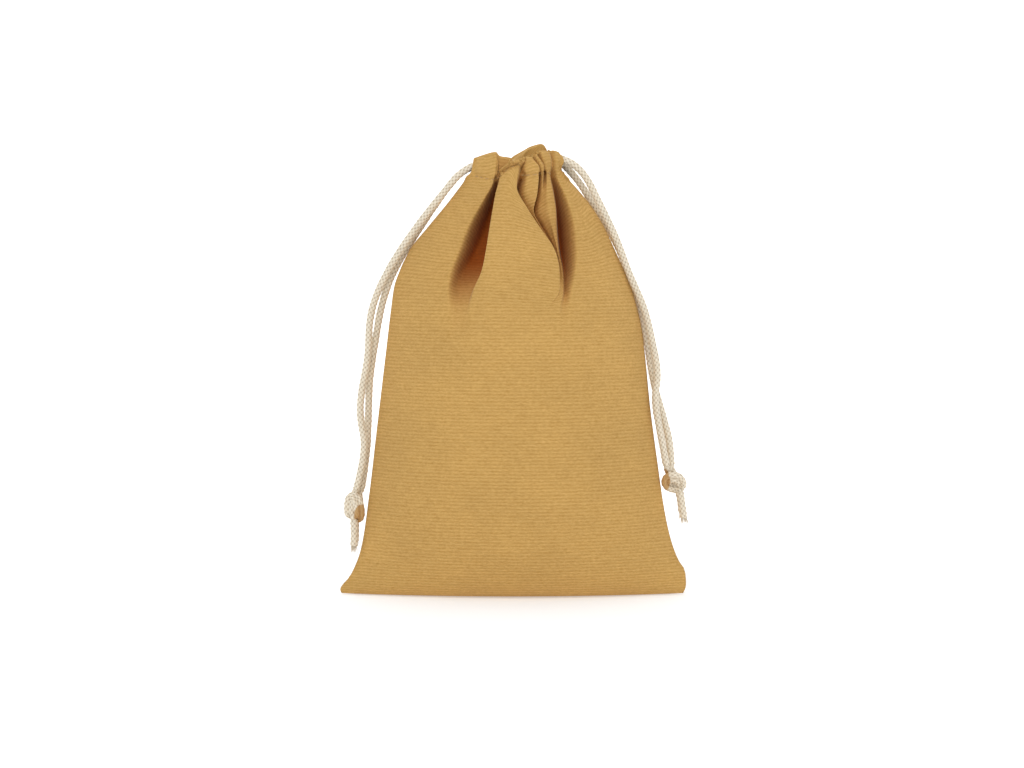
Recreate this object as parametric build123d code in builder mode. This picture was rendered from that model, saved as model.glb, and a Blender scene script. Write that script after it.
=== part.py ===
"""A drawstring gift pouch: two sewn fabric panels, a gathered casing round the mouth and two knotted cords.

Millimetres. +Z is up, +X is to the right and -Y is the front. The origin is the middle of the base, on
the surface that the filled pouch stands on. Each finished piece is written to its own STEP file.
"""

import os
from math import asin, atan, degrees, hypot, pi, radians, sin, sqrt, tan

from build123d import *

# ---- driving dimensions ----
FABRIC = 1.6  # wall of the filled pouch: ribbed fabric with its nap
BASE_THICKNESS = 1.6
GATHER_Z = 178.0  # above this height the gathered fabric fills the neck out to a thick wall
HINGE_Z = 184.0  # lower edge of the casing, where the side slits start
HINGE_GAP = 0.3  # between the panels and the casing that leans on them
POUCH_HEIGHT = 197.0

# Filled shape: height, half width and half depth. Every section is two circular arcs, front and back.
PROFILE = [
    (0.0, 74.0, 17.0),
    (4.0, 74.8, 20.0),
    (12.0, 72.0, 24.5),
    (24.0, 67.8, 28.5),
    (42.0, 64.8, 31.5),
    (70.0, 61.2, 33.0),
    (100.0, 57.4, 32.0),
    (125.0, 54.0, 29.0),
    (140.0, 50.0, 25.8),
    (155.0, 42.0, 21.5),
    (167.0, 35.0, 17.8),
    (GATHER_Z, 26.5, 15.2),
]

# The casing: a band of folded hem, bent round the mouth, with a tunnel that both cords share.
RING_RADIUS = 20.58  # bend of the tunnel's middle line, front and back alike
RING_CENTRE_Y = 11.08  # centre of the front band's bend; the back band's is at minus this
RING_HALF_WIDTH = 4.0  # from the tunnel's middle line to the outer or inner face of the band
TUNNEL_HALF_WIDTH = 2.1
TUNNEL_FLOOR = 186.0
TUNNEL_ROOF = 195.5
SLIT_HALF_WIDTH = 4.2  # the front and back casings stop this far from the side seams
CASING_RIM_RADIUS = 0.8  # rounding of the casing's folded top edge
NECK_CAVITY = [(GATHER_Z, 17.5, 8.6), (HINGE_Z - HINGE_GAP, 12.33, 5.5)]

# The cords.
CORD_RADIUS = 1.5
LEFT_LANE_Z = 188.2  # the left cord runs in the lower half of the tunnel
RIGHT_LANE_Z = 192.0
ARC_SHARE = 0.45  # share of the shorter run that each arc of a cord's route takes
BEND_GAP = 0.4  # between a cord's length in a casing and its bend across the slit

# Thread and seam allowances.
THREAD_RADIUS = 0.25
STITCH_LENGTH = 2.4
STITCH_PITCH = 3.6
ALLOWANCE_WIDTH = 5.8
ALLOWANCE_HALF_THICKNESS = 1.1
ALLOWANCE_SET_IN = 3.2  # from the cavity's corner to the allowance's edge
SIDE_ALLOWANCE_FROM = 9.0
SIDE_ALLOWANCE_TO = 174.0
BOTTOM_ALLOWANCE_HALF = 64.0
STITCH_CASING_Z = 185.3
STITCHED_HALF_WIDTH = 18.0  # the casing's row of stitches reaches this far to each side
STITCH_GAP = 0.04  # a stitch floats this far off flat fabric, so that the two never overlap
BAND_STITCH_GAP = 0.12  # and this far off the bent casing, because each stitch is straight

# Routes of the free strands, from the end of the tunnel to the knot.
LEFT_FRONT_ROUTE = [
    (-14.1, -3.93, LEFT_LANE_Z),
    (-16.4, -1.85, LEFT_LANE_Z),
    (-22.4, -1.9, 185.9),
    (-30.2, -1.9, 176.2),
    (-42.0, -1.8, 161.6),
    (-54.6, -1.4, 143.0),
    (-62.8, -1.1, 124.4),
    (-63.2, -1.7, 104.5),
    (-66.4, -1.9, 89.5),
    (-67.2, -1.5, 78.0),
    (-64.0, -2.0, 63.0),
    (-68.9, -1.8, 45.9),
]
LEFT_BACK_ROUTE = [
    (-14.1, 3.93, LEFT_LANE_Z),
    (-16.4, 1.85, LEFT_LANE_Z),
    (-22.4, 1.9, 185.9),
    (-30.4, 2.1, 176.3),
    (-41.4, 2.4, 160.0),
    (-52.4, 2.2, 142.5),
    (-57.8, 1.9, 127.0),
    (-60.4, 1.7, 111.0),
    (-63.0, 1.9, 95.0),
    (-63.5, 1.9, 79.0),
    (-64.0, 1.9, 62.0),
    (-66.6, 1.8, 45.9),
]
RIGHT_FRONT_ROUTE = [
    (14.1, -3.93, RIGHT_LANE_Z),
    (16.4, -1.85, RIGHT_LANE_Z),
    (22.6, -1.9, 191.3),
    (31.2, -1.8, 184.8),
    (37.6, -1.5, 172.0),
    (45.4, -1.3, 156.0),
    (50.4, -1.3, 141.5),
    (57.6, -1.1, 126.0),
    (60.6, -1.2, 113.0),
    (63.8, -1.7, 97.5),
    (61.8, -2.1, 86.0),
    (64.6, -2.0, 71.0),
    (67.4, -1.8, 56.2),
]
RIGHT_BACK_ROUTE = [
    (14.1, 3.93, RIGHT_LANE_Z),
    (16.4, 1.85, RIGHT_LANE_Z),
    (20.6, 1.9, 190.2),
    (28.6, 2.6, 181.8),
    (35.6, 3.6, 170.4),
    (44.2, 3.5, 157.0),
    (50.4, 3.1, 142.5),
    (56.0, 2.6, 126.5),
    (59.2, 2.3, 109.5),
    (61.4, 2.0, 94.0),
    (65.6, 1.9, 79.5),
    (69.4, 1.8, 66.0),
    (69.6, 1.8, 56.2),
]
# Knots: a plain barrel for each overhand knot. Middle of the axis, largest radius, end radius, height.
LEFT_KNOT = {"x": -69.8, "z": 39.0, "radius": 3.9, "end_radius": 3.2, "height": 13.0}
RIGHT_KNOT = {"x": 70.3, "z": 50.2, "radius": 4.9, "end_radius": 3.8, "height": 10.0}
# Tails: where each frayed tail leaves its knot, and where it ends.
LEFT_TAILS = {
    "front": [(-69.9, -1.6, 32.3), (-69.6, -1.7, 27.0), (-69.8, -1.8, 21.4)],
    "back": [(-69.3, 1.6, 32.2), (-69.1, 1.7, 27.5), (-69.4, 1.9, 23.4)],
}
RIGHT_TAILS = {
    "front": [(73.4, -1.6, 44.6), (74.3, -1.7, 39.4), (75.0, -1.7, 33.8)],
    "back": [(73.0, 1.6, 44.7), (73.9, 1.7, 40.0), (74.4, 1.9, 35.8)],
}

os.makedirs("parts", exist_ok=True)


def write(part, label):
    """Name a finished piece and write its STEP file."""
    part.label = label
    export_step(part, f"parts/{label}.step")


def size_at(z):
    """Half width and half depth of the filled pouch at a height."""
    for (z0, w0, d0), (z1, w1, d1) in zip(PROFILE, PROFILE[1:]):
        if z <= z1:
            share = (z - z0) / (z1 - z0)
            return w0 + share * (w1 - w0), d0 + share * (d1 - d0)
    return PROFILE[-1][1:]


def corner_angle(half_width, half_depth):
    """Angle, in radians, between a section's arc and its chord at the side seam."""
    return 2 * atan(half_depth / half_width)


def cavity_at(z):
    """Half width and half depth of the space inside the fabric at a height."""
    half_width, half_depth = size_at(z)
    return (
        half_width - FABRIC / sin(corner_angle(half_width, half_depth)),
        half_depth - FABRIC,
    )


def front_section(z, half_width, half_depth):
    """Sketch of a section's front half: an arc closed by a straight line between the side seams."""
    with BuildSketch(Plane.XY.offset(z)) as section:
        with BuildLine():
            ThreePointArc((-half_width, 0), (0, -half_depth), (half_width, 0))
            Line((half_width, 0), (-half_width, 0))
        make_face()
    return section.sketch


# ---- panels ----
ring_outer = RING_RADIUS + RING_HALF_WIDTH
NECK = [
    PROFILE[-1],
    (HINGE_Z - HINGE_GAP, sqrt(ring_outer**2 - RING_CENTRE_Y**2), ring_outer - RING_CENTRE_Y),
]
cavity_heights = [BASE_THICKNESS] + [z for z, _, _ in PROFILE[1:]]
with BuildPart() as front_panel:
    loft([front_section(*row) for row in PROFILE])
    loft([front_section(z, *cavity_at(z)) for z in cavity_heights], mode=Mode.SUBTRACT)
    # the dense gathers between the filled shape and the casing
    loft([front_section(*row) for row in NECK])
    loft([front_section(*row) for row in NECK_CAVITY], mode=Mode.SUBTRACT)

with BuildPart() as back_panel:
    mirror(front_panel.part, about=Plane.XZ)

# ---- casing ----
with BuildPart() as front_casing:
    with BuildSketch(Plane.XY.offset(HINGE_Z)):
        with Locations((0, RING_CENTRE_Y)):
            Circle(ring_outer)
            Circle(RING_RADIUS - RING_HALF_WIDTH, mode=Mode.SUBTRACT)
    extrude(amount=POUCH_HEIGHT - HINGE_Z)
    with BuildSketch(Plane.XY.offset(TUNNEL_FLOOR)):
        with Locations((0, RING_CENTRE_Y)):
            Circle(RING_RADIUS + TUNNEL_HALF_WIDTH)
            Circle(RING_RADIUS - TUNNEL_HALF_WIDTH, mode=Mode.SUBTRACT)
    extrude(amount=TUNNEL_ROOF - TUNNEL_FLOOR, mode=Mode.SUBTRACT)
    split(bisect_by=Plane.XZ.offset(SLIT_HALF_WIDTH), keep=Keep.TOP)
    rims = front_casing.faces().sort_by(Axis.Z)[-1].edges().filter_by(GeomType.CIRCLE)
    fillet(rims, radius=CASING_RIM_RADIUS)

with BuildPart() as back_casing:
    mirror(front_casing.part, about=Plane.XZ)

# ---- seam allowances, turned to the inside ----
allowance_heights = [SIDE_ALLOWANCE_FROM] + [
    z for z, _, _ in PROFILE if SIDE_ALLOWANCE_FROM < z < SIDE_ALLOWANCE_TO
]
allowance_heights.append(SIDE_ALLOWANCE_TO)
allowance_edge = [(cavity_at(z)[0] - ALLOWANCE_SET_IN, z) for z in allowance_heights]
allowance_inner = [(x - ALLOWANCE_WIDTH, z) for x, z in allowance_edge]
with BuildPart() as right_seam_allowance:
    with BuildSketch(Plane.XZ):
        with BuildLine():
            Polyline(*allowance_edge, *reversed(allowance_inner), close=True)
        make_face()
    extrude(amount=ALLOWANCE_HALF_THICKNESS, both=True)

with BuildPart() as left_seam_allowance:
    mirror(right_seam_allowance.part, about=Plane.YZ)

with BuildPart() as bottom_seam_allowance:
    with Locations((0, 0, BASE_THICKNESS)):
        Box(
            2 * BOTTOM_ALLOWANCE_HALF,
            2 * ALLOWANCE_HALF_THICKNESS,
            ALLOWANCE_WIDTH,
            align=(Align.CENTER, Align.CENTER, Align.MIN),
        )

# ---- stitching ----
stitch_y = ALLOWANCE_HALF_THICKNESS + THREAD_RADIUS + STITCH_GAP


def side_stitch_places():
    """A plane at each stitch of the right side seam, with its Z along the seam."""
    places = []
    for (x0, z0), (x1, z1) in zip(allowance_edge, allowance_edge[1:]):
        run = hypot(x1 - x0, z1 - z0)
        count = max(1, int(run / STITCH_PITCH))
        for i in range(count):
            share = (i + 0.5) / count
            x = x0 + share * (x1 - x0) - ALLOWANCE_WIDTH / 2
            z = z0 + share * (z1 - z0)
            for y in (-stitch_y, stitch_y):
                places.append(Plane(origin=(x, y, z), z_dir=(x1 - x0, 0, z1 - z0)))
    return places


with BuildPart() as right_seam_stitching:
    with Locations(*side_stitch_places()):
        Cylinder(THREAD_RADIUS, STITCH_LENGTH)

with BuildPart() as left_seam_stitching:
    mirror(right_seam_stitching.part, about=Plane.YZ)

bottom_stitches = int(2 * BOTTOM_ALLOWANCE_HALF / STITCH_PITCH) - 1
with BuildPart() as bottom_seam_stitching:
    with Locations((0, 0, BASE_THICKNESS + ALLOWANCE_WIDTH / 2)):
        with GridLocations(STITCH_PITCH, 2 * stitch_y, bottom_stitches, 2):
            Cylinder(THREAD_RADIUS, STITCH_LENGTH, rotation=(0, 90, 0))

band_reach = degrees(asin(STITCHED_HALF_WIDTH / ring_outer))
thread_ring = ring_outer + THREAD_RADIUS + BAND_STITCH_GAP
band_stitches = int(radians(2 * band_reach) * thread_ring / STITCH_PITCH)
with BuildPart() as front_casing_stitching:
    with Locations((0, RING_CENTRE_Y, STITCH_CASING_Z)):
        with PolarLocations(
            thread_ring, band_stitches, 270 - band_reach, 2 * band_reach, endpoint=True
        ):
            Cylinder(THREAD_RADIUS, STITCH_LENGTH, rotation=(90, 0, 0))

with BuildPart() as back_casing_stitching:
    mirror(front_casing_stitching.part, about=Plane.XZ)

# ---- cords inside the casing ----
run_end_x = sqrt(RING_RADIUS**2 - (RING_CENTRE_Y + SLIT_HALF_WIDTH) ** 2)
run_front_y = RING_CENTRE_Y - RING_RADIUS
# The bend across a slit carries on in the tunnel's direction and turns back into the other casing.
tangent_x = (RING_CENTRE_Y + SLIT_HALF_WIDTH) / RING_RADIUS
tangent_y = run_end_x / RING_RADIUS
bend_end_x = run_end_x + BEND_GAP * tangent_x
bend_end_y = SLIT_HALF_WIDTH - BEND_GAP * tangent_y
bend_radius = bend_end_y / tangent_x
bend_tip_x = bend_end_x + bend_radius * (1 - tangent_y)


def cord_along(route):
    """Sweep the cord's section along a wire, in the part that is being built."""
    with BuildSketch(Plane(origin=route @ 0, z_dir=route % 0)) as section:
        Circle(CORD_RADIUS)
    sweep(section.sketch, path=route)


def casing_run(lane_z):
    """The stretch of a cord that lies in the front casing's tunnel."""
    with BuildPart() as run:
        with BuildLine(Plane.XY.offset(lane_z)) as path:
            ThreePointArc(
                (-run_end_x, -SLIT_HALF_WIDTH), (0, run_front_y), (run_end_x, -SLIT_HALF_WIDTH)
            )
        cord_along(path.wire())
    return run


def slit_bend(lane_z, side):
    """The bend that takes a cord from the front casing to the back one, across the slit on one side."""
    with BuildPart() as bend:
        with BuildLine(Plane.XY.offset(lane_z)) as path:
            ThreePointArc(
                (side * bend_end_x, -bend_end_y),
                (side * bend_tip_x, 0),
                (side * bend_end_x, bend_end_y),
            )
        cord_along(path.wire())
    return bend


left_cord_front_run = casing_run(LEFT_LANE_Z)
right_cord_front_run = casing_run(RIGHT_LANE_Z)
with BuildPart() as left_cord_back_run:
    mirror(left_cord_front_run.part, about=Plane.XZ)
with BuildPart() as right_cord_back_run:
    mirror(right_cord_front_run.part, about=Plane.XZ)
left_cord_slit_bend = slit_bend(LEFT_LANE_Z, 1)
right_cord_slit_bend = slit_bend(RIGHT_LANE_Z, -1)


# ---- free strands ----
def bend_radii(route):
    """The largest tangent arc for each corner of a route, given its two runs."""
    points = [Vector(*p) for p in route]
    radii = []
    for before, corner, after in zip(points, points[1:], points[2:]):
        run_in, run_out = corner - before, after - corner
        turn = radians(run_in.get_angle(run_out))
        radii.append(ARC_SHARE * min(run_in.length, run_out.length) / tan(turn / 2))
    return radii


def strand(label, route):
    """A cord's tube along a route: straight runs joined by tangent arcs."""
    radii = bend_radii(route)
    with BuildPart() as tube:
        with BuildLine() as path:
            FilletPolyline(*route, radius=radii)
        cord_along(path.wire())
    length = path.wire().length
    share = tube.part.volume / (pi * CORD_RADIUS**2 * length)
    print(label, "length", round(length, 1), "volume share", round(share, 4))
    print("  radii", [round(radius, 1) for radius in radii])
    return tube


left_cord_front_strand = strand("left_cord_front_strand", LEFT_FRONT_ROUTE)
left_cord_back_strand = strand("left_cord_back_strand", LEFT_BACK_ROUTE)
right_cord_front_strand = strand("right_cord_front_strand", RIGHT_FRONT_ROUTE)
right_cord_back_strand = strand("right_cord_back_strand", RIGHT_BACK_ROUTE)


# ---- knots and tails ----
def knot_barrel(knot):
    """A plain barrel that holds the space of an overhand knot tied in both strands."""
    half = knot["height"] / 2
    with BuildPart() as barrel:
        with BuildSketch(Plane.XZ) as profile:
            with BuildLine():
                Polyline((0, half), (0, -half), (knot["end_radius"], -half))
                ThreePointArc(
                    (knot["end_radius"], -half), (knot["radius"], 0), (knot["end_radius"], half)
                )
                Line((knot["end_radius"], half), (0, half))
            make_face()
        revolve(axis=Axis.Z)
    barrel.part.position = (knot["x"], 0, knot["z"])
    return barrel


left_knot = knot_barrel(LEFT_KNOT)
right_knot = knot_barrel(RIGHT_KNOT)
tails = {
    f"{side}_tail_{place}": strand(f"{side}_tail_{place}", route)
    for side, routes in (("left", LEFT_TAILS), ("right", RIGHT_TAILS))
    for place, route in routes.items()
}

# ---- write every piece ----
pieces = {
    "front_panel": front_panel,
    "back_panel": back_panel,
    "front_casing": front_casing,
    "back_casing": back_casing,
    "left_seam_allowance": left_seam_allowance,
    "right_seam_allowance": right_seam_allowance,
    "bottom_seam_allowance": bottom_seam_allowance,
    "left_seam_stitching": left_seam_stitching,
    "right_seam_stitching": right_seam_stitching,
    "bottom_seam_stitching": bottom_seam_stitching,
    "front_casing_stitching": front_casing_stitching,
    "back_casing_stitching": back_casing_stitching,
    "left_cord_front_run": left_cord_front_run,
    "left_cord_back_run": left_cord_back_run,
    "left_cord_slit_bend": left_cord_slit_bend,
    "right_cord_front_run": right_cord_front_run,
    "right_cord_back_run": right_cord_back_run,
    "right_cord_slit_bend": right_cord_slit_bend,
    "left_cord_front_strand": left_cord_front_strand,
    "left_cord_back_strand": left_cord_back_strand,
    "right_cord_front_strand": right_cord_front_strand,
    "right_cord_back_strand": right_cord_back_strand,
    "left_knot": left_knot,
    "right_knot": right_knot,
    **tails,
}
for label, piece in pieces.items():
    write(piece.part, label)
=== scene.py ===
"""The looks of the drawstring gift pouch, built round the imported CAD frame.

The frame is in metres, +Z is up and -Y is the front. Shapes are worked out in millimetres.
"""

import math
import random

import bpy
import numpy as np
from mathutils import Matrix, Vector, noise


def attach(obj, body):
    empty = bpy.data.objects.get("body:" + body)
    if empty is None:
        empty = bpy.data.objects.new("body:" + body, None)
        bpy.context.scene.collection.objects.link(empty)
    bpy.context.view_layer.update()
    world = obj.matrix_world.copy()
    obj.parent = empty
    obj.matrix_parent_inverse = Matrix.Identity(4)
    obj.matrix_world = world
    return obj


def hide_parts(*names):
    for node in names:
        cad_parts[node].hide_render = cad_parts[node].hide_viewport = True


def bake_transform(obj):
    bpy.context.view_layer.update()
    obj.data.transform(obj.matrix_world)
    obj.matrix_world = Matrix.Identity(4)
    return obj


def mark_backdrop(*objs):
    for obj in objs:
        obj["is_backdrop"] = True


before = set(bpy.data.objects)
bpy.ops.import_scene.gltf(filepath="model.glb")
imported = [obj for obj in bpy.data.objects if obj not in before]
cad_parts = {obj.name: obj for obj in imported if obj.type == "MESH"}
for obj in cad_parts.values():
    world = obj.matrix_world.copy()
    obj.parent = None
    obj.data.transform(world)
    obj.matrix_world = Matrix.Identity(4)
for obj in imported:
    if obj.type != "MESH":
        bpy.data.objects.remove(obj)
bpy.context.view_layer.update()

MM = 0.001

# ---- sizes, in millimetres ----
CLOTH_THICKNESS = 0.7
RIB_PITCH = 1.5
HEM_HEIGHT = 184.0  # the casing's row of stitches
TOP_HEIGHT = 197.0  # the fold at the top of the casing
FOLDS_FROM = 100.0  # below this height the panels are smooth
SEAM_GAP = 0.12  # the two panels stand this far from the middle plane where they meet
LOWEST_POINT = 0.4  # height of the panels' lowest points
PANEL_COLUMNS = 330  # points across a panel
CORD_RADIUS = 1.5
KNOT_CORD_RADIUS = 1.32  # a knot pulls its cord thinner
LEFT_LANE_Z = 188.2
RIGHT_LANE_Z = 192.0
RING_RADIUS = 20.58  # bend of the cords' way through the casing
RING_CENTRE_Y = 11.08
CASING_INNER_RADIUS = 16.9  # bend of the casing's inner layer
CASING_INNER_HALF_WIDTH = 12.3
SLIT_HALF_WIDTH = 4.1  # from the middle plane to a casing's end, so that the cords pass between them

# ---- outline of the filled pouch: height, distance from the middle plane ----
LEFT_EDGE = [
    (0, 75.2), (2.0, 76.0), (8, 71.6), (20, 66.8), (42, 63.4), (72, 59.8), (106, 55.7), (125, 53.4),
    (135, 52.0), (142, 49.6), (152, 44.6), (161, 37.4), (172, 28.4), (178, 23.9), (182, 21.0), (187, 18.0),
    (197, 17.2),
]
RIGHT_EDGE = [
    (0, 74.8), (4, 76.2), (10, 75.8), (15, 72.8), (25, 69.2), (37, 66.6), (58, 63.5), (81, 60.4), (116, 56.5),
    (130, 53.2), (138, 50.4), (153, 43.8), (163, 38.9), (172, 33.0), (180.2, 26.3), (185, 21.8), (188, 21.2),
    (192, 22.2), (195, 21.8), (197, 20.4),
]
HALF_DEPTH = [
    (0, 10.5), (0.6, 13.0), (2.5, 17.0), (8, 22.0), (16, 26.0), (28, 29.3), (45, 32.0), (70, 33.5),
    (100, 32.6), (125, 29.6), (140, 26.2), (155, 21.8), (167, 18.0), (178, 15.4), (184, 14.2), (197, 13.8),
]

# ---- folds of the gathered neck ----
# Each line of a fold runs up the cloth. After its name: its place across the flat cloth, where it is at each
# of FOLD_HEIGHTS, how deep it lies behind the filled outline there, and the heights of the casing's stitches
# and of its top edge on that line.
FOLD_HEIGHTS = (124, 134, 142, 150, 160, 168, 176, 184, 197)
FRONT_FOLDS = [
    ("left shoulder rim", 44,
     (-28.4, -28.6, -27.2, -24.2, -20.4, -16.4, -12.2, -8.6, -7.6),
     (0, .2, .3, .3, .3, .3, .2, 0, 0), 181.2, 192.8),
    ("left valley", 55,
     (-23.8, -23.2, -20.0, -15.6, -12.0, -9.8, -7.8, -6.2, -5.6),
     (.8, 5.4, 11.0, 14.6, 16.0, 14.4, 11.0, 6.0, 2.4), 182.0, 191.0),
    ("tuck behind the middle pleat", 61,
     (-20.4, -17.4, -12.4, -10.2, -8.4, -7.0, -5.2, -2.4, -.4),
     (.6, 4.6, 10.6, 14.4, 16.4, 15.0, 11.0, 4.0, 2.6), 183.0, 190.0),
    ("middle pleat, left edge", 66,
     (-18.4, -17.0, -13.6, -11.9, -10.3, -9.0, -7.6, -5.8, -5.2),
     (0, .3, .1, -.4, -.6, -.6, -.5, .3, 2.2), 183.0, 185.6),
    ("middle pleat, crown", 73,
     (-8.0, -5.0, -3.0, -2.0, -1.6, -1.8, -2.4, -1.4, -.6),
     (0, -.6, -1.2, -1.7, -1.9, -1.8, -1.5, -.5, 1.4), 186.2, 188.8),
    ("middle pleat, right lip", 80,
     (13.0, 20.2, 20.2, 18.7, 12.4, 6.4, 1.6, 2.8, 4.4),
     (0, -.1, -.4, -.8, -1.1, -1.2, -1.0, -.2, 1.0), 187.6, 190.0),
    ("crease behind the lip", 85,
     (14.0, 20.4, 19.6, 17.2, 10.4, 4.6, 1.6, 3.6, 4.8),
     (0, .8, 3.4, 6.4, 7.6, 7.4, 6.8, 5.8, 4.2), 183.0, 189.2),
    ("second pleat, left part", 90,
     (14.6, 20.6, 20.0, 17.8, 11.6, 6.0, 5.0, 6.0, 6.0),
     (0, .9, 3.2, 5.6, 6.2, 4.0, 1.0, .4, .8), 183.0, 190.4),
    ("second pleat, right edge", 96,
     (15.2, 20.8, 20.4, 18.4, 12.8, 8.9, 10.6, 11.2, 8.6),
     (0, .9, 3.0, 4.8, 4.8, 1.6, .4, -.1, .4), 183.5, 190.6),
    ("second crease", 100,
     (16.2, 20.9, 20.5, 18.6, 13.2, 8.7, 10.2, 11.3, 8.9),
     (0, 1.0, 3.2, 5.2, 6.2, 6.4, 5.8, 4.6, 3.0), 183.5, 190.0),
    ("third pleat, crown", 105,
     (17.2, 21.1, 20.7, 18.9, 14.6, 11.2, 12.4, 12.9, 10.4),
     (0, 1.0, 3.0, 4.4, 4.2, 3.4, 2.6, .6, .4), 184.0, 192.0),
    ("third crease", 110,
     (18.2, 21.3, 20.9, 19.2, 16.2, 13.6, 13.4, 13.8, 11.2),
     (0, 1.0, 2.8, 3.8, 3.0, 2.2, 2.0, 4.0, 3.0), 184.0, 191.6),
    ("fourth pleat, crown", 115,
     (18.8, 21.4, 21.0, 19.4, 17.4, 16.0, 15.0, 14.8, 12.8),
     (0, .9, 2.4, 3.0, 1.8, .9, .7, .6, .2), 184.0, 193.2),
    ("fourth pleat, right edge", 120,
     (19.6, 21.6, 21.2, 19.8, 18.8, 18.6, 17.4, 15.9, 15.4),
     (0, .9, 2.4, 3.2, 2.6, 1.8, 1.2, .6, .6), 184.0, 193.4),
    ("right valley", 126,
     (21.6, 22.4, 22.2, 20.9, 19.8, 19.2, 18.2, 16.6, 16.4),
     (.4, 4.4, 10.0, 13.6, 14.4, 12.6, 9.4, 5.4, 2.6), 183.5, 193.0),
    ("right shoulder rim", 134,
     (25.2, 25.8, 27.4, 28.0, 27.4, 25.6, 22.6, 19.2, 18.6),
     (0, .1, .2, .2, .2, .2, .2, .1, 0), 184.0, 193.6),
]
BACK_FOLDS = [
    ("left shoulder rim", 36,
     (-30.0, -30.0, -29.0, -27.0, -24.0, -20.5, -17.0, -13.8, -13.2),
     (0, .2, .3, .3, .3, .3, .2, .2, .2), 183.0, 191.8),
    ("left valley", 46,
     (-26.0, -25.0, -23.0, -20.4, -17.4, -15.0, -12.6, -10.8, -10.4),
     (.2, 3.0, 7.6, 10.8, 12.0, 11.0, 8.4, 5.0, 2.6), 182.5, 190.8),
    ("first pleat, left edge", 56,
     (-21.0, -20.4, -18.4, -16.6, -14.8, -13.0, -10.8, -8.6, -8.2),
     (0, .3, .2, -.2, -.5, -.6, -.4, 0, .2), 183.0, 191.4),
    ("first pleat, right edge", 66,
     (-13.0, -11.0, -9.4, -8.2, -7.0, -6.0, -5.2, -4.6, -4.2),
     (0, -.3, -.8, -1.1, -1.2, -1.0, -.6, 0, .3), 183.0, 190.6),
    ("middle crease", 74,
     (-5.0, -5.0, -5.4, -5.8, -5.6, -4.8, -4.0, -3.0, -2.4),
     (0, .2, .9, 2.6, 5.2, 6.8, 6.6, 4.2, 2.8), 182.0, 189.8),
    ("second pleat, crown", 84,
     (4.0, 3.4, 2.6, 2.0, 1.6, 1.2, .8, .4, .6),
     (0, -.3, -.9, -1.5, -1.7, -1.5, -1.0, -.1, 0), 183.0, 191.8),
    ("right crease", 94,
     (11.0, 10.4, 9.4, 8.6, 7.6, 6.4, 5.6, 4.8, 5.0),
     (0, .6, 2.4, 4.8, 6.6, 7.0, 6.4, 4.2, 2.6), 183.5, 194.0),
    ("third pleat, crown", 103,
     (15.5, 14.6, 13.6, 12.6, 11.2, 10.0, 9.0, 8.4, 9.2),
     (0, -.2, -.4, -.7, -.8, -.7, -.4, 0, 0), 184.5, 196.0),
    ("right valley", 114,
     (20.5, 20.0, 19.8, 19.2, 18.0, 16.2, 14.4, 12.8, 13.4),
     (.2, 3.2, 8.0, 11.0, 11.6, 10.2, 7.8, 4.6, 2.4), 184.5, 196.8),
    ("right shoulder rim", 124,
     (25.0, 25.0, 25.0, 24.6, 23.4, 21.6, 19.4, 17.0, 16.2),
     (0, .2, .3, .3, .3, .3, .2, .2, .2), 184.0, 192.6),
]
CLOTH_SPAN = 168.0  # the fold lines' places across the cloth are counted to this
BASE_SHARES = (0.0, 0.12, 0.3, 0.5, 0.7, 0.85, 0.95)  # rows of points under the base, from seam to wall
BASE_ROWS = len(BASE_SHARES)
# fold depth at which the painted shade of a fold is full
DEEPEST_FOLD = 13.0
# How far the side seams are lifted at the heights in fold_lines.
SEAM_SAGS = {"left": [[0], [0], [-0.5], [-6.5]], "right": [[0], [0], [-0.5], [-4.0]]}

# ---- routes of the free strands, in millimetres, as in the CAD model ----
LEFT_FRONT_ROUTE = [
    (-14.1, -3.93, LEFT_LANE_Z), (-16.4, -1.85, LEFT_LANE_Z), (-22.4, -1.9, 185.9), (-30.2, -1.9, 176.2),
    (-42.0, -1.8, 161.6), (-54.6, -1.4, 143.0), (-62.8, -1.1, 124.4), (-63.2, -1.7, 104.5),
    (-66.4, -1.9, 89.5), (-67.2, -1.5, 78.0), (-64.0, -2.0, 63.0), (-68.9, -1.8, 45.9),
]
LEFT_BACK_ROUTE = [
    (-14.1, 3.93, LEFT_LANE_Z), (-16.4, 1.85, LEFT_LANE_Z), (-22.4, 1.9, 185.9), (-30.4, 2.1, 176.3),
    (-41.4, 2.4, 160.0), (-52.4, 2.2, 142.5), (-57.8, 1.9, 127.0), (-60.4, 1.7, 111.0), (-63.0, 1.9, 95.0),
    (-63.5, 1.9, 79.0), (-64.0, 1.9, 62.0), (-66.6, 1.8, 45.9),
]
RIGHT_FRONT_ROUTE = [
    (14.1, -3.93, RIGHT_LANE_Z), (16.4, -1.85, RIGHT_LANE_Z), (22.6, -1.9, 191.3), (31.2, -1.8, 184.8),
    (37.6, -1.5, 172.0), (45.4, -1.3, 156.0), (50.4, -1.3, 141.5), (57.6, -1.1, 126.0),
    (60.6, -1.2, 113.0), (63.8, -1.7, 97.5), (61.8, -2.1, 86.0), (64.6, -2.0, 71.0), (67.4, -1.8, 56.2),
]
RIGHT_BACK_ROUTE = [
    (14.1, 3.93, RIGHT_LANE_Z), (16.4, 1.85, RIGHT_LANE_Z), (20.6, 1.9, 190.2), (28.6, 2.6, 181.8),
    (35.6, 3.6, 170.4), (44.2, 3.5, 157.0), (50.4, 3.1, 142.5), (56.0, 2.6, 126.5), (59.2, 2.3, 109.5),
    (61.4, 2.0, 94.0), (65.6, 1.9, 79.5), (69.4, 1.8, 66.0), (69.6, 1.8, 56.2),
]
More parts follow.
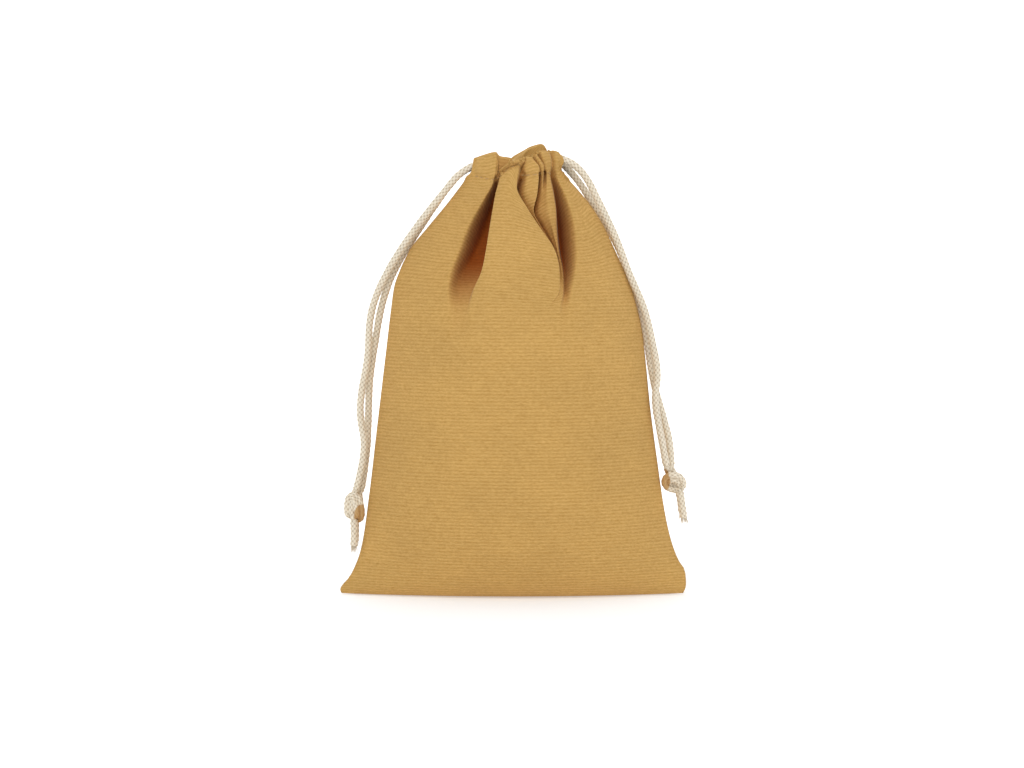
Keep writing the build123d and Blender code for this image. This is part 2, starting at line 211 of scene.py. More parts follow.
TAILS = {
    "left_tail_front": [(-69.9, -1.6, 33.5), (-69.6, -1.7, 27.0), (-69.8, -1.8, 21.4)],
    "left_tail_back": [(-69.3, 1.6, 33.4), (-69.1, 1.7, 27.5), (-69.4, 1.9, 23.4)],
    "right_tail_front": [(73.3, -1.6, 45.6), (74.3, -1.7, 39.4), (75.0, -1.7, 33.8)],
    "right_tail_back": [(72.9, 1.6, 45.8), (73.9, 1.7, 40.0), (74.4, 1.9, 35.8)],
}


# ---- small tools ----
def smooth_through(knots, values, at):
    """Monotone cubics through rows of values, flat at each turn, so that a crease stays in its place."""
    knots = np.asarray(knots, float)
    values = np.asarray(values, float)
    at = np.clip(np.asarray(at, float), knots[0], knots[-1])
    gap = np.diff(knots)[:, None]
    slope = np.diff(values, axis=0) / gap
    tangent = np.zeros_like(values)
    same_way = slope[:-1] * slope[1:] > 0
    before, after = 2 * gap[1:] + gap[:-1], gap[1:] + 2 * gap[:-1]
    safe = np.where(same_way, slope[:-1] * slope[1:], 1.0)
    mean = (before + after) * safe / np.where(same_way, before * slope[1:] + after * slope[:-1], 1.0)
    tangent[1:-1] = np.where(same_way, mean, 0.0)
    tangent[0], tangent[-1] = slope[0], slope[-1]
    i = np.clip(np.searchsorted(knots, at, side="right") - 1, 0, len(knots) - 2)
    s = ((at - knots[i]) / gap[i, 0])[:, None]
    return (
        values[i] * (1 + 2 * s) * (1 - s) ** 2
        + tangent[i] * gap[i] * s * (1 - s) ** 2
        + values[i + 1] * s * s * (3 - 2 * s)
        + tangent[i + 1] * gap[i] * s * s * (s - 1)
    )


def profile_at(profile, heights):
    """A profile's value at each of these heights."""
    table = np.array(profile, float)
    return smooth_through(table[:, 0], table[:, 1:2], heights)[:, 0]


def eased(x, low, high):
    """0 below low, 1 above high, and smooth between them."""
    t = np.clip((np.asarray(x, float) - low) / (high - low), 0, 1)
    return t * t * (3 - 2 * t)


def link(obj):
    bpy.context.scene.collection.objects.link(obj)
    return obj


def mesh_piece(name, points, faces, material, attributes=None):
    """A smooth-shaded mesh in metres from points in millimetres, with vector attributes on its points."""
    mesh = bpy.data.meshes.new(name)
    mesh.from_pydata((np.asarray(points) * MM).tolist(), [], faces)
    mesh.polygons.foreach_set("use_smooth", np.ones(len(mesh.polygons), bool))
    for label, values in (attributes or {}).items():
        layer = mesh.attributes.new(label, "FLOAT_VECTOR", "POINT")
        layer.data.foreach_set("vector", np.asarray(values, np.float32).ravel())
    mesh.update()
    obj = link(bpy.data.objects.new(name, mesh))
    mesh.materials.append(material)
    return obj


def grid_faces(rows, columns, closed=False):
    """Quads of a grid of points; closed joins the last column to the first."""
    index = np.arange(rows * columns).reshape(rows, columns)
    if closed:
        index = np.concatenate([index, index[:, :1]], axis=1)
    quads = np.stack([index[:-1, :-1], index[:-1, 1:], index[1:, 1:], index[1:, :-1]], axis=-1)
    return quads.reshape(-1, 4).tolist()


def keep_modifiers(obj):
    """Turn an object's modifiers into its mesh."""
    graph = bpy.context.evaluated_depsgraph_get()
    graph.update()
    evaluated = obj.evaluated_get(graph)
    made = bpy.data.meshes.new_from_object(evaluated, preserve_all_data_layers=True, depsgraph=graph)
    obj.modifiers.clear()
    obj.data = made
    return obj


# ---- materials ----
DARK_FABRIC = (0.43, 0.238, 0.056, 1)
PALE_FABRIC = (0.66, 0.408, 0.138, 1)
# painted shade of the deep folds of the neck
FOLD_PAINTED_SHADE = (0.50, 0.19, 0.06, 1)
# cord colours by braid height: painted shade in the gaps between yarns, the yarn's own colour, and painted
# highlight on the yarns' backs
CORD_GAP_SHADE = (0.21, 0.155, 0.09, 1)
CORD_YARN = (0.72, 0.62, 0.47, 1)
CORD_BACK_HIGHLIGHT = (0.87, 0.80, 0.665, 1)
# painted shade on the knots, tinted by light bounced off the pouch
POUCH_BOUNCE_SHADE = (0.50, 0.27, 0.07, 1)
DARK_THREAD = (0.40, 0.23, 0.07, 1)
PALE_THREAD = (0.62, 0.40, 0.16, 1)
# Unevenness of the fabric: scale across and up the cloth per millimetre, detail and roughness.
FABRIC_NOISE = {
    "wander": ((0.06, 0.3, 0.0), 2.0, 0.5),
    "yarn": ((1.5, 1.0, 0.0), 2.0, 0.5),
    "fleck": ((0.62, 1.5, 0.0), 3.0, 0.75),
    "cloud": ((0.03, 0.045, 0.0), 3.0, 0.6),
    "nap": ((0.2, 0.55, 0.0), 4.0, 0.65),
}
RIB_SWAY = {"wander": 0.5, "yarn": 0.45}  # millimetres
# fleck and nap are the cloth's own uneven tone; the rib share is painted shade in the ribs' grooves and
# painted highlight on their crests
TONE_AND_RIB_SHADE_SHARES = {"rib": 0.17, "fleck": 0.85, "nap": 0.4}
RELIEF_SHARES = {"rib": 0.5, "fleck": 0.9}
FOLD_CALM = -0.7  # the deepest fold's relief is this much less


def material(name, **inputs):
    """A material, its node tree and its Principled shader, with plain values set on the shader's sockets."""
    made = bpy.data.materials.new(name)
    made.use_nodes = True
    shader = made.node_tree.nodes["Principled BSDF"]
    for socket, value in inputs.items():
        shader.inputs[socket.replace("_", " ")].default_value = value
    return made, made.node_tree, shader


def node(tree, kind, inputs=None, **settings):
    """A node with its settings, and its inputs linked or set."""
    made = tree.nodes.new(kind)
    for key, value in settings.items():
        setattr(made, key, value)
    for socket, value in (inputs or {}).items():
        if isinstance(value, bpy.types.NodeSocket):
            tree.links.new(value, made.inputs[socket])
        else:
            made.inputs[socket].default_value = value
    return made


def maths(tree, operation, *values):
    return node(tree, "ShaderNodeMath", dict(enumerate(values)), operation=operation).outputs[0]


def vector_maths(tree, operation, inputs, output=0):
    return node(tree, "ShaderNodeVectorMath", inputs, operation=operation).outputs[output]


def mix_colours(tree, share, first, second, blend_type="MIX"):
    inputs = {0: share, 6: first, 7: second}
    return node(tree, "ShaderNodeMix", inputs, data_type="RGBA", blend_type=blend_type).outputs[2]


def colour_ramp(tree, value, stops):
    """A ramp through stops of a position and a colour."""
    made = node(tree, "ShaderNodeValToRGB", {0: value})
    elements = made.color_ramp.elements
    elements[0].position, elements[0].color = stops[0]
    elements[1].position, elements[1].color = stops[-1]
    for position, colour in stops[1:-1]:
        elements.new(position).color = colour
    return made.outputs[0]


def add_bump(tree, shader, height, strength, distance):
    """Fine relief from a height, up to a distance in millimetres."""
    bump = node(tree, "ShaderNodeBump", {"Height": height, "Strength": strength, "Distance": distance * MM})
    tree.links.new(bump.outputs[0], shader.inputs["Normal"])


def weighted_sum(tree, shares, values):
    """The sum of some values, each times its share."""
    total = None
    for label, share in shares.items():
        part = maths(tree, "MULTIPLY", values[label], share)
        total = part if total is None else maths(tree, "ADD", total, part)
    return total


def stretched_noise(tree, vector, scale, detail=2.0, roughness=0.5):
    """Noise over a vector that is scaled first, so that it can be longer one way."""
    scaled = vector_maths(tree, "MULTIPLY", {0: vector, 1: scale})
    inputs = {"Vector": scaled, "Scale": 1.0, "Detail": detail, "Roughness": roughness}
    return node(tree, "ShaderNodeTexNoise", inputs).outputs["Fac"]


def fabric_material(name, on_cloth):
    """Ribbed, slightly napped cloth. The ribs follow the cloth's own places, which are in millimetres."""
    made, tree, shader = material(
        name, Roughness=0.88, Sheen_Weight=0.12, Sheen_Roughness=0.45,
        Sheen_Tint=(1.0, 0.86, 0.66, 1.0), Specular_IOR_Level=0.18,
    )
    if on_cloth:
        across = node(tree, "ShaderNodeAttribute", attribute_name="cloth").outputs["Vector"]
    else:
        position = node(tree, "ShaderNodeTexCoord").outputs["Object"]
        upright = {0: position, 1: (0, 0, 0), 2: (math.pi / 2, 0, 0)}
        across = node(tree, "ShaderNodeMapping", upright).outputs[0]
        across = vector_maths(tree, "SCALE", {0: across, "Scale": 1 / MM})
    split = node(tree, "ShaderNodeSeparateXYZ", {0: across})
    values = {label: stretched_noise(tree, across, *how) for label, how in FABRIC_NOISE.items()}
    along = maths(tree, "ADD", split.outputs[1], weighted_sum(tree, RIB_SWAY, values))
    wave = maths(tree, "SINE", maths(tree, "MULTIPLY", along, 2 * math.pi / RIB_PITCH))
    values["rib"] = maths(tree, "MULTIPLY_ADD", wave, 0.5, 0.5)
    # the colour's tone: the cloth's own flecks and nap, with painted shade and highlight along the ribs
    tone = weighted_sum(tree, TONE_AND_RIB_SHADE_SHARES, values)
    dyed = colour_ramp(tree, tone, [(0.40, DARK_FABRIC), (0.93, PALE_FABRIC)])
    shade = maths(tree, "MULTIPLY_ADD", values["cloud"], 0.24, 0.88)
    shaded = vector_maths(tree, "SCALE", {0: dyed, "Scale": shade})
    height = weighted_sum(tree, RELIEF_SHARES, values)
    if on_cloth:
        # painted shade: the colour is darkened and reddened towards the fold shade as a fold gets deeper, in
        # place of the dim light, already bounced off the dyed cloth, that reaches into it; a fold also shows
        # less of its ribs
        deep = maths(tree, "POWER", split.outputs[2], 0.85)
        shaded = mix_colours(tree, deep, shaded, FOLD_PAINTED_SHADE, "MULTIPLY")
        height = maths(tree, "MULTIPLY", height, maths(tree, "MULTIPLY_ADD", deep, FOLD_CALM, 1.0))
    tree.links.new(shaded, shader.inputs["Base Color"])
    add_bump(tree, shader, height, 0.6, 0.2)
    return made


def cord_material(name="drawcord_looks", bounce_shade_patch=None):
    """Braided cream cord, with painted highlight on the yarns' backs and painted shade between them. Its last
    argument, when given, is the centre and the half sizes, in metres, of a patch on a knot's side facing the
    pouch that is painted the pouch's colour, as painted shade tinted by light bounced off the pouch."""
    made, tree, shader = material(
        name, Roughness=0.52, Sheen_Weight=0.25, Sheen_Roughness=0.4, Specular_IOR_Level=0.4,
        Sheen_Tint=(1.0, 0.96, 0.88, 1.0),
    )
    braid = node(tree, "ShaderNodeAttribute", attribute_name="braid")
    split = node(tree, "ShaderNodeSeparateXYZ", {0: braid.outputs["Vector"]})
    fibre = stretched_noise(tree, braid.outputs["Vector"], (7.0, 7.0, 0.0), 3.0, 0.6)
    grime = stretched_noise(tree, braid.outputs["Vector"], (0.25, 0.25, 0.0), 2.0)
    tone = maths(tree, "ADD", split.outputs[2], maths(tree, "MULTIPLY_ADD", fibre, 0.3, -0.15))
    # painted shade between the yarns and painted highlight on their backs, from the braid's height, with the
    # fibres' own uneven tone
    yarns = colour_ramp(tree, tone, [(0.3, CORD_GAP_SHADE), (0.68, CORD_YARN), (0.95, CORD_BACK_HIGHLIGHT)])
    shade = maths(tree, "MULTIPLY_ADD", grime, 0.16, 0.93)
    colour = vector_maths(tree, "SCALE", {0: yarns, "Scale": shade})
    # painted bounce light and shade: the patch of a knot facing the pouch takes on the pouch's colour
    if bounce_shade_patch:
        centre, half_sizes = bounce_shade_patch
        position = node(tree, "ShaderNodeTexCoord").outputs["Object"]
        aside = vector_maths(tree, "SUBTRACT", {0: position, 1: centre})
        aside = vector_maths(tree, "DIVIDE", {0: aside, 1: half_sizes})
        distance = vector_maths(tree, "LENGTH", {0: aside}, "Value")
        share = maths(tree, "MULTIPLY_ADD", distance, -6.0, 6.5)
        share = maths(tree, "MINIMUM", maths(tree, "MAXIMUM", share, 0.0), 0.88)
        colour = mix_colours(tree, share, colour, POUCH_BOUNCE_SHADE)
    tree.links.new(colour, shader.inputs["Base Color"])
    add_bump(tree, shader, fibre, 0.5, 0.08)
    return made


def thread_material():
    """Matte sewing thread with its twist."""
    made, tree, shader = material(
        "sewing_thread_looks", Roughness=0.7, Sheen_Weight=0.3, Specular_IOR_Level=0.3
    )
    position = node(tree, "ShaderNodeTexCoord").outputs["Object"]
    twist = stretched_noise(tree, position, (3500.0, 3500.0, 3500.0), 2.0)
    colour = mix_colours(tree, twist, DARK_THREAD, PALE_THREAD)
    tree.links.new(colour, shader.inputs["Base Color"])
    add_bump(tree, shader, twist, 0.5, 0.05)
    return made


FABRIC = fabric_material("ribbed_fabric_looks", on_cloth=True)
ALLOWANCE = fabric_material("seam_allowance_looks", on_cloth=False)
CORD = cord_material()
THREAD = thread_material()


# ---- fabric ----
WAVES = ((34.0, 46.0, 0.75), (13.0, 17.0, 0.18))  # width, height and depth of the body's slow and quick waves
CALM_WIDTH, CALM_HEIGHTS = 14, (2, 16)  # the waves fade out over these towards the seams and the ground
PUCKER_DEPTH, PUCKER_WIDTH, PUCKER_HEIGHTS = 0.22, 3.2, (8, 20)  # of the side seams
STITCHES_ABOVE = 1.0  # from HEM_HEIGHT up to the row of stitches
PUFF = 0.9  # how far the cords push the casing out
GROOVE_DEPTH, GROOVE_WIDTH = 0.5, 0.9  # of the casing's stitches
TIPPED_FROM, TIPPED_TO = (60, 66), (76, 84)  # across the cloth, where the casing leans forward
INNER_FOLD_DEPTH = 1.5  # of the casing's inner layer
TURN_STEPS, TURN_RISE = 6, 0.9  # of the casing's top fold
RELAXED_HEIGHTS = (112, 126)  # the cloth is evened out from there up
BASE_RISE, BASE_RISE_WIDTH = 0.35, 20  # of the bottom seam off the ground, from the sides in
RIB_LEVELLING = 0.35  # share of the folds' slant that the ribs lose


def lens_depth(x, left, right, depth):
    """How far the filled outline stands from the middle plane at x, for a section of two circular arcs."""
    middle, half = (right - left) / 2, (right + left) / 2
    radius = (half**2 + depth**2) / (2 * depth)
    reach = np.clip(radius**2 - (x - middle) ** 2, 0, None)
    return np.maximum(np.sqrt(reach) - (radius - depth), 0)


def wall_heights():
    """Heights of the rows of points up a panel, closer where it bends more."""
    return np.concatenate([
        [0, 0.35, 0.9, 1.8, 3.0, 4.6, 6.6],
        np.arange(9, 120, 2.6),
        np.arange(120, 160, 1.5),
        np.arange(160, HEM_HEIGHT - 1.6, 1.0),
        [HEM_HEIGHT - 1.2, HEM_HEIGHT - 0.6, HEM_HEIGHT, HEM_HEIGHT + 0.6, HEM_HEIGHT + 1.4],
        np.linspace(HEM_HEIGHT + 2.4, TOP_HEIGHT, 12),
    ])


def fold_lines(folds, heights):
    """Places and depths of all fold lines, the two side seams included, at each height, and their lift."""
    left, right = profile_at(LEFT_EDGE, heights), profile_at(RIGHT_EDGE, heights)
    lines = [0.0] + [entry[1] for entry in folds] + [CLOTH_SPAN]
    low = FOLD_HEIGHTS[0]
    low_left, low_right = profile_at(LEFT_EDGE, [low])[0], profile_at(RIGHT_EDGE, [low])[0]
    places, depths, lifts = [-left], [np.zeros_like(heights)], [np.zeros_like(heights)]
    lift_knots = (0, 158, HEM_HEIGHT, TOP_HEIGHT)
    knots = [FOLDS_FROM - 12, FOLDS_FROM, FOLDS_FROM + 12] + list(FOLD_HEIGHTS)
    ends_left, ends_right = profile_at(LEFT_EDGE, knots[:3]), profile_at(RIGHT_EDGE, knots[:3])
    for _, _, xs, behind, stitched, top in folds:
        share = (xs[0] + low_left) / (low_left + low_right)
        ends = [-a + share * (a + b) for a, b in zip(ends_left, ends_right)]
        upper = smooth_through(knots, np.array([ends + list(xs)]).T, heights)[:, 0]
        lower = -left + share * (left + right)
        places.append(np.where(heights < knots[0], lower, upper))
        depths.append(smooth_through(knots, np.array([[0, 0, 0] + list(behind)]).T, heights)[:, 0])
        lift = [[0], [0], [stitched - HEM_HEIGHT], [top - TOP_HEIGHT]]
        lifts.append(smooth_through(lift_knots, lift, heights)[:, 0])
    places.append(right)
    depths.append(np.zeros_like(heights))
    lifts[0] = smooth_through(lift_knots, SEAM_SAGS["left"], heights)[:, 0]
    lifts.append(smooth_through(lift_knots, SEAM_SAGS["right"], heights)[:, 0])
    return lines, np.array(places).T, np.array(depths).T, np.array(lifts).T


def undulation(x, z, seed):
    """Shallow waves of a stuffed cloth face, in millimetres."""
    (wide, high, deep), (narrow, low, shallow) = WAVES
    flat = [
        noise.noise((a / wide, b / high, seed)) * deep
        + noise.noise((a / narrow, b / low, seed + 7)) * shallow
        for a, b in zip(x.ravel(), z.ravel())
    ]
    return np.array(flat).reshape(x.shape)


def crease(x, z, start, end, width):
    """1 along a line from start to end and fading to 0 a width away."""
    a, b = np.array(start, float), np.array(end, float)
    along = b - a
    t = np.clip(((x - a[0]) * along[0] + (z - a[1]) * along[1]) / (along @ along), 0, 1)
    gap = np.hypot(x - a[0] - t * along[0], z - a[1] - t * along[1])
    return np.exp(-((gap / width) ** 2)) * (1 - 0.5 * (2 * t - 1) ** 2)


def least_depth(x, heights):
    """How far from the middle plane the cloth must stay, outside the casing's cords and clear of the slits,
    and how softly it comes to that."""
    around = np.sqrt(np.clip(RING_RADIUS**2 - x**2, 0, None)) - RING_CENTRE_Y
    casing = np.maximum(around + CORD_RADIUS + CLOTH_THICKNESS, SLIT_HALF_WIDTH)
    share = eased(heights, HEM_HEIGHT - 5, HEM_HEIGHT)[:, None]
    return SEAM_GAP + (casing - SEAM_GAP) * share, 0.05 + 0.75 * share


def soft_larger(a, b, softness):
    """The larger of two, rounded where they meet."""
    return (a + b + np.sqrt((a - b) ** 2 + softness**2)) / 2


def casing_turn(wall, heights, columns):
    """Rows over the casing's top fold and down its inner side, round the cords, to the stitches."""
    share = np.linspace(0, 1, columns)
    angle = (2 * share - 1) * math.asin(CASING_INNER_HALF_WIDTH / CASING_INNER_RADIUS)
    fold = 0.5 + 0.5 * np.sin(share * 43 + 1.6 * np.sin(share * 17))  # small folds, unevenly spaced
    bend = CASING_INNER_RADIUS - INNER_FOLD_DEPTH * fold**1.5
    inner = np.stack([bend * np.sin(angle), RING_CENTRE_Y - bend * np.cos(angle)], axis=1)
    rows = [row for row in range(len(heights)) if heights[row] > HEM_HEIGHT + 0.8][::-1]
    made = []
    for row in rows:
        up = (heights[row] - HEM_HEIGHT) / (TOP_HEIGHT - HEM_HEIGHT)
        # the two layers bow apart round the cords
        away = 0.12 + 0.13 * up + 0.8 * math.sin(math.pi * up) ** (0.35 if up < 0.5 else 0.6)
        points = wall[row].copy()
        points[:, :2] += (inner - points[:, :2]) * min(away, 1.0)
        made.append(points)
    outer_top, inner_top = wall[-1], made[0]
    over = []
    for k in range(1, TURN_STEPS):
        turn = math.pi * k / TURN_STEPS
        across = (1 - math.cos(turn)) / 2
        points = outer_top + (inner_top - outer_top) * across
        points[:, 2] += TURN_RISE * math.sin(turn)
        over.append(points)
    return np.array(over + made)


def body_relief(x, h, from_seam, seed, creases):
    """The filled body's waves and creases, and its seams' puckers, all calmed towards the ground."""
    calm = eased(from_seam, 0, CALM_WIDTH) * eased(h, *CALM_HEIGHTS)
    wave = undulation(x, h, seed) * calm
    for start, end, width, deep in creases:
        wave -= deep * crease(x, h, start, end, width) * eased(h, 0.5, 5) * eased(from_seam, 0, 2.5)
    pucker = np.sin(h / 2.9 + np.sin(h / 7.3) * 1.7 + seed) * np.exp(-from_seam / PUCKER_WIDTH)
    return wave, pucker * PUCKER_DEPTH * eased(h, *PUCKER_HEIGHTS)


def casing_puff(h, across):
    """How far the cords push the casing out, less the pinch of its stitches."""
    up = np.clip((h - HEM_HEIGHT) / (TOP_HEIGHT - HEM_HEIGHT), 0, 1)
    above = h - HEM_HEIGHT - STITCHES_ABOVE
    tipped = eased(across, *TIPPED_FROM) * (1 - eased(across, *TIPPED_TO))
    width = np.where(above > 0, GROOVE_WIDTH + 2.6 * tipped, GROOVE_WIDTH)
    groove = (GROOVE_DEPTH + 1.3 * tipped) * np.exp(-((above / width) ** 2))
    return PUFF * np.sin(math.pi * up) ** 0.7 * (1 + 0.6 * tipped) - groove


def base_rows(wall, from_seam):
    """Rows under the base, from the bottom seam out to the wall."""
    shares = np.array(BASE_SHARES)[:, None]
    under = np.repeat(wall[:1], len(shares), axis=0)
    under[:, :, 1] = -SEAM_GAP + shares * (wall[0, :, 1] + SEAM_GAP)
    under[:, :, 2] = LOWEST_POINT + BASE_RISE * (1 - shares) * eased(from_seam, 0, BASE_RISE_WIDTH)
    return under


def panel_points(folds, columns, seed, creases):
    """Points of one panel in millimetres, in rows from the bottom seam to the hem's inner edge, and its cloth
    places."""
    heights = wall_heights()
    lines, places, depths, lifts = fold_lines(folds, heights)
    across = np.linspace(0, CLOTH_SPAN, columns)
    x = smooth_through(lines, places.T, across).T
    behind = smooth_through(lines, depths.T, across).T
    lift = smooth_through(lines, lifts.T, across).T
    left, right = profile_at(LEFT_EDGE, heights)[:, None], profile_at(RIGHT_EDGE, heights)[:, None]
    depth = profile_at(HALF_DEPTH, heights)[:, None]
    h = np.repeat(heights[:, None], columns, axis=1)
    outline = lens_depth(x, left, right, depth)
    from_seam = np.minimum(np.abs(x + left), np.abs(x - right))
    wave, pucker = body_relief(x, h, from_seam, seed, creases)
    least, softness = least_depth(x, heights)
    z = np.maximum(h + lift, LOWEST_POINT)
    wall = np.stack([x, -soft_larger(outline + wave + pucker - behind, least, softness), z], axis=-1)
    wall = relaxed(wall, heights)
    wall += section_normals(wall) * (casing_puff(h, across) * eased(from_seam, 0, 3))[:, :, None]
    under = base_rows(wall, from_seam[0])
    turned = casing_turn(wall, heights, columns)
    points = np.concatenate([under, wall, turned])
    all_heights = np.concatenate([np.zeros(BASE_ROWS), heights, np.full(len(turned), TOP_HEIGHT)])
    folded = np.clip(behind / DEEPEST_FOLD, 0, 1)
    folded = np.concatenate([np.zeros_like(under[:, :, 0]), folded, np.zeros_like(turned[:, :, 0])])
    return points, cloth_places(points, all_heights, folded, seed)


def cloth_places(points, heights, folded, seed):
    """For each point: its place across the cloth and up it, in millimetres, and how deep it lies in a fold,
    from 0 to 1, which darkens the fabric's colour as painted shade."""
    run_up = np.linalg.norm(np.diff(points, axis=0), axis=2)
    up = np.concatenate([np.zeros((1, points.shape[1])), np.cumsum(run_up, axis=0)])
    # the cloth was cut straight, so the filled body's ribs lie level; the folds above them pull them aslant
    level = up.mean(axis=1)
    body = int(np.searchsorted(heights, FOLD_HEIGHTS[0]))
    above = np.arange(len(points)) > body
    kept = np.where(above, 1 - RIB_LEVELLING * eased(heights, FOLD_HEIGHTS[0], 165), 1.0)[:, None]
    off_level = np.where(above[:, None], (up[body] - level[body])[None], up - level[:, None])
    up = up - off_level * kept
    run_across = np.linalg.norm(np.diff(points, axis=1), axis=2)
    across = np.concatenate([np.zeros((len(points), 1)), np.cumsum(run_across, axis=1)], axis=1)
    across -= across[:, [points.shape[1] * 2 // 5]]
    top_row = int(np.argmax(heights))
    across[top_row:] = across[top_row]
    return np.stack([across + 40 * seed, up, folded], axis=-1)


def relaxed(points, heights, times=3):
    """The grid evened out a little, as cloth evens out its own bends; its edges keep their places."""
    made = points.copy()
    held = (eased(heights, *RELAXED_HEIGHTS) * 0.5)[1:-1, None, None]
    for _ in range(times):
        around = (made[:-2, 1:-1] + made[2:, 1:-1] + made[1:-1, :-2] + made[1:-1, 2:]) / 4
        made[1:-1, 1:-1] += (around - made[1:-1, 1:-1]) * held
    return made


def section_normals(points):
    """Level unit normals of each row, pointing out of the pouch's front."""
    tangent = np.gradient(points[:, :, :2], axis=1)
    normal = np.stack([tangent[:, :, 1], -tangent[:, :, 0], np.zeros(tangent.shape[:2])], axis=-1)
    return normal / np.maximum(np.linalg.norm(normal, axis=2, keepdims=True), 1e-9)


def cloth_panel(name, folds, seed, creases, behind=False):
    """A whole panel of cloth: base, wall, casing and its folded hem, with the cloth's own thickness."""
    points, cloth = panel_points(folds, PANEL_COLUMNS, seed, creases)
    if behind:
        points = points * np.array([1, -1, 1])
    faces = grid_faces(len(points), PANEL_COLUMNS)
    if behind:
        faces = [face[::-1] for face in faces]
    obj = mesh_piece(name, points.reshape(-1, 3), faces, FABRIC, {"cloth": cloth.reshape(-1, 3)})
    solid = obj.modifiers.new("thickness", "SOLIDIFY")
    solid.thickness = CLOTH_THICKNESS * MM
    solid.offset = -1
    keep_modifiers(obj)
    return obj, points


# Creases of the bottom corners: start, end, width and depth.
FRONT_CREASES = [
    ((64, 1), (75, 8), 1.3, 0.9), ((58, 3), (72, 16), 2.2, 0.7), ((-72, 3), (-60, 17), 2.4, 0.7),
]
BACK_CREASES = [((62, 2), (73, 12), 1.8, 0.8), ((-73, 2), (-58, 15), 2.0, 0.8)]
front_fabric, front_points = cloth_panel("front_fabric", FRONT_FOLDS, 3.0, FRONT_CREASES)
back_fabric, back_points = cloth_panel("back_fabric", BACK_FOLDS, 11.0, BACK_CREASES, behind=True)


# ---- cords ----
def nurbs_line(name, route):
    """Points along the smooth line of a route, in millimetres, read from its NURBS spline."""
    curve = bpy.data.curves.new(name, "CURVE")
    curve.dimensions = "3D"
    curve.resolution_u = 24
    spline = curve.splines.new("NURBS")
    spline.points.add(len(route) - 1)
    for point, place in zip(spline.points, route):
        point.co = (*[c * MM for c in place], 1.0)
    spline.order_u = 3
    spline.use_endpoint_u = True
    holder = bpy.data.objects.new(name, curve)
    mesh = bpy.data.meshes.new_from_object(holder)
    line = np.array([v.co for v in mesh.vertices]) / MM
    bpy.data.objects.remove(holder)
    bpy.data.meshes.remove(mesh)
    bpy.data.curves.remove(curve)
    return line


def run_along(line):
    """The distance along a line of each of its points."""
    return np.concatenate([[0], np.cumsum(np.linalg.norm(np.diff(line, axis=0), axis=1))])


def evenly(line, step):
    """The same line with its points a step apart, and their distances along it."""
    run = run_along(line)
    count = max(2, int(round(run[-1] / step)) + 1)
    at = np.linspace(0, run[-1], count)
    return np.stack([np.interp(at, run, line[:, k]) for k in range(3)], axis=1), at


def carried_frames(line):
    """Tangent and two cross directions at each point, carried along the line without twist."""
    tangent = np.gradient(line, axis=0)
    tangent /= np.linalg.norm(tangent, axis=1, keepdims=True)
    side = np.zeros_like(line)
    start = np.cross(tangent[0], (0.0, 1.0, 0.2))
    side[0] = start / np.linalg.norm(start)
    for i in range(1, len(line)):
        kept = side[i - 1] - tangent[i] * (side[i - 1] @ tangent[i])
        side[i] = kept / np.linalg.norm(kept)
    return tangent, side, np.cross(tangent, side)


BRAID_STRANDS = 5  # yarns that wind each way round the cord
BRAID_PITCH = 2.2  # the cord's length over which they move on by one yarn
YARN_ROUNDNESS = 1.85
YARN_LEVELS = (0.72, 0.28)  # height of a yarn at its crossings' middle, and how far it weaves over and under
RELIEF = (0.82, 0.27)  # share of the radius in the gaps, and what the yarns add
CAP_LENGTH = 0.5  # a closed end rounds off over this share of the radius
SWAY = 0.02  # share of the radius by which the cord grows thicker and thinner along its length


def braid_height(turn, along):
    """Height of the braid's yarns, 0 to 1, at an angle in turns and a distance along the cord, and the two
    counts of yarns there."""
    first = BRAID_STRANDS * turn + along / BRAID_PITCH
    second = BRAID_STRANDS * turn - along / BRAID_PITCH
    first_yarn, second_yarn = np.floor(first), np.floor(second)
    round_first = np.sqrt(np.clip(1 - (YARN_ROUNDNESS * (first - first_yarn - 0.5)) ** 2, 0, 1))
    round_second = np.sqrt(np.clip(1 - (YARN_ROUNDNESS * (second - second_yarn - 0.5)) ** 2, 0, 1))
    over = np.cos(math.pi * (second - 0.5) + math.pi * first_yarn)
    under = -np.cos(math.pi * (first - 0.5) + math.pi * second_yarn)
    level, weave = YARN_LEVELS
    height = np.maximum(round_first * (level + weave * over), round_second * (level + weave * under))
    return height, first, second


def braided_tube(name, line, look, radius=CORD_RADIUS, step=0.22, around=44, caps=(True, True)):
    """A braided cord along a line, its yarns as real relief. Gives the piece and its centres in metres."""
    centres, along = evenly(line, step)
    tangent, side, across = carried_frames(centres)
    turn = np.arange(around) / around
    turns, runs = np.meshgrid(turn, along)
    height, first, second = braid_height(turns, runs)
    sway = 1 + SWAY * np.sin(runs * 0.55 + 1.3)
    ring = radius * (RELIEF[0] + RELIEF[1] * height) * sway
    for capped, from_end in zip(caps, (along, along[-1] - along)):
        if capped:
            ring = ring * np.sqrt(np.clip(from_end / (CAP_LENGTH * radius), 0.08, 1))[:, None]
    angle = 2 * math.pi * turns
    points = (
        centres[:, None]
        + side[:, None] * (np.cos(angle) * ring)[:, :, None]
        + across[:, None] * (np.sin(angle) * ring)[:, :, None]
    )
    braid = np.stack([first, second, height], axis=-1).reshape(-1, 3)
    flat = points.reshape(-1, 3)
    faces = grid_faces(len(centres), around, closed=True)
    last = len(flat)
    flat = np.concatenate([flat, centres[:1], centres[-1:]])
    braid = np.concatenate([braid, [[0, 0, 0.5], [0, 0, 0.5]]])
    faces += [(last, (k + 1) % around, k) for k in range(around)]
    end = last - around
    faces += [(last + 1, end + k, end + (k + 1) % around) for k in range(around)]
    obj = mesh_piece(name, flat, faces, look, {"braid": braid})
    return obj, centres * MM


